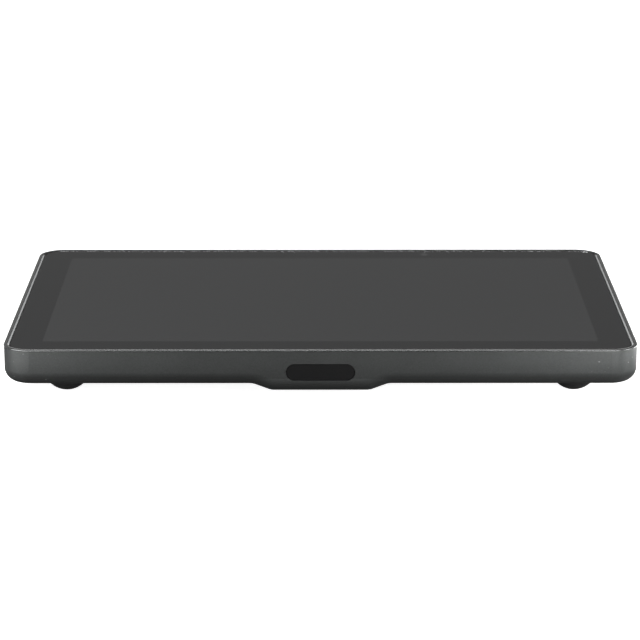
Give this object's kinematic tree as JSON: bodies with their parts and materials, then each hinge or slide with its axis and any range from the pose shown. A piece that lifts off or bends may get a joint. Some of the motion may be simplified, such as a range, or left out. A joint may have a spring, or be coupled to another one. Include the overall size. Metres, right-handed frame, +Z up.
{
  "type": "smart display",
  "caption": "Flat tablet-like touch display lying on rubber dome feet, with a glass front, a thin metal rim, and a raised spine with a port bay on its underside.",
  "frame": {"origin": "centre of the footprint, on the plane that the feet stand on", "axes": "+X along the long side, to the right seen from the edge with the cable exit; +Y towards the far edge with the buttons; +Z up, out of the screen"},
  "size_m": [0.2468, 0.1656, 0.0195],
  "materials": {
    "housing": "fine satin texture",
    "rim_metal": "satin top, polished inner chamfer",
    "glass": "clear, polished",
    "border_ink": "screen print behind the glass",
    "window_ink": "half-clear ink",
    "foam": "foam",
    "film": "clear film",
    "panel": "switched off",
    "diffuser": "white film",
    "acrylic": "clear",
    "reflector": "white film",
    "led_bar": "board with light-emitting diodes",
    "steel_sheet": "pressed sheet",
    "frame_metal": "die cast",
    "circuit_board": "solder mask",
    "chip": "moulded",
    "module_black": "moulded",
    "connector": "moulded",
    "pad_grey": "soft",
    "spreader": "bare",
    "socket_steel": "bare",
    "flex": "polyimide",
    "antenna": "moulded, with a printed trace",
    "cable_jacket": "jacket",
    "cone": "cone and basket",
    "boot": "soft",
    "screw_steel": "zinc plated",
    "insert_brass": "turned",
    "button_plastic": "satin",
    "plug_plastic": "fine satin",
    "cover_plastic": "fine satin texture",
    "foot_rubber": "matt"
  },
  "bodies": {
    "root": {"antenna_left": "antenna", "antenna_right": "antenna", "backlight_bar": "led_bar", "backlight_tray": "steel_sheet", "board_connectors": "connector", "board_screws": "screw_steel", "border_print": "border_ink", "cable_plug": "plug_plastic", "coax_left": "cable_jacket", "coax_right": "cable_jacket", "cover_glass": "glass", "diffuser_sheets": "diffuser", "display_flex": "flex", "edge_board": "circuit_board", "edge_flex": "flex", "edge_switches": "module_black", "foot_far_left": "foot_rubber", "foot_far_right": "foot_rubber", "foot_near_left": "foot_rubber", "foot_near_right": "foot_rubber", "frame_screws": "screw_steel", "glass_gasket": "foam", "heat_spreader": "spreader", "lcd_cell": "panel", "light_guide": "acrylic", "light_pipe": "acrylic", "light_sensor": "chip", "main_board": "circuit_board", "memory_chips": "chip", "microphone_boots": "boot", "microphones": "chip", "mid_frame": "frame_metal", "mount_inserts": "insert_brass", "network_jack": "module_black", "power_module": "module_black", "power_socket": "socket_steel", "processor": "chip", "rear_housing": "housing", "reflector_sheet": "reflector", "reset_switch": "module_black", "sensor_window": "window_ink", "shield_can": "steel_sheet", "speaker_box_left": "module_black", "speaker_box_right": "module_black", "speaker_driver_left": "cone", "speaker_driver_right": "cone", "speaker_gasket_left": "foam", "speaker_gasket_right": "foam", "speaker_leads": "cable_jacket", "speaker_screws": "screw_steel", "thermal_pad": "pad_grey", "touch_flex": "flex", "touch_sensor": "film", "trim_ring": "rim_metal"},
    "volume_up": {"volume_up": "button_plastic"},
    "volume_down": {"volume_down": "button_plastic"},
    "mute_slider": {"mute_slider": "button_plastic"},
    "reset_button": {"reset_button": "button_plastic"},
    "bay_cover": {"bay_cover": "cover_plastic", "cover_screws": "screw_steel"}
  },
  "joints": [
    {"name": "volume_up_press", "type": "slide", "parent": "root", "child": "volume_up", "axis": [0, -1, 0], "range_m": [0, 0.0005], "stiffness_N_per_m": 2500, "springref_m": -0.0003},
    {"name": "volume_down_press", "type": "slide", "parent": "root", "child": "volume_down", "axis": [0, -1, 0], "range_m": [0, 0.0005], "stiffness_N_per_m": 2500, "springref_m": -0.0003},
    {"name": "mute_slide", "type": "slide", "parent": "root", "child": "mute_slider", "axis": [1, 0, 0], "range_m": [0, 0.003]},
    {"name": "reset_press", "type": "slide", "parent": "root", "child": "reset_button", "axis": [0, 1, 0], "range_m": [0, 0.0004], "stiffness_N_per_m": 2500, "springref_m": -0.0003},
    {"name": "bay_cover_lift", "type": "slide", "parent": "root", "child": "bay_cover", "axis": [0, 0, -1], "range_m": [0, 0.03]}
  ]
}
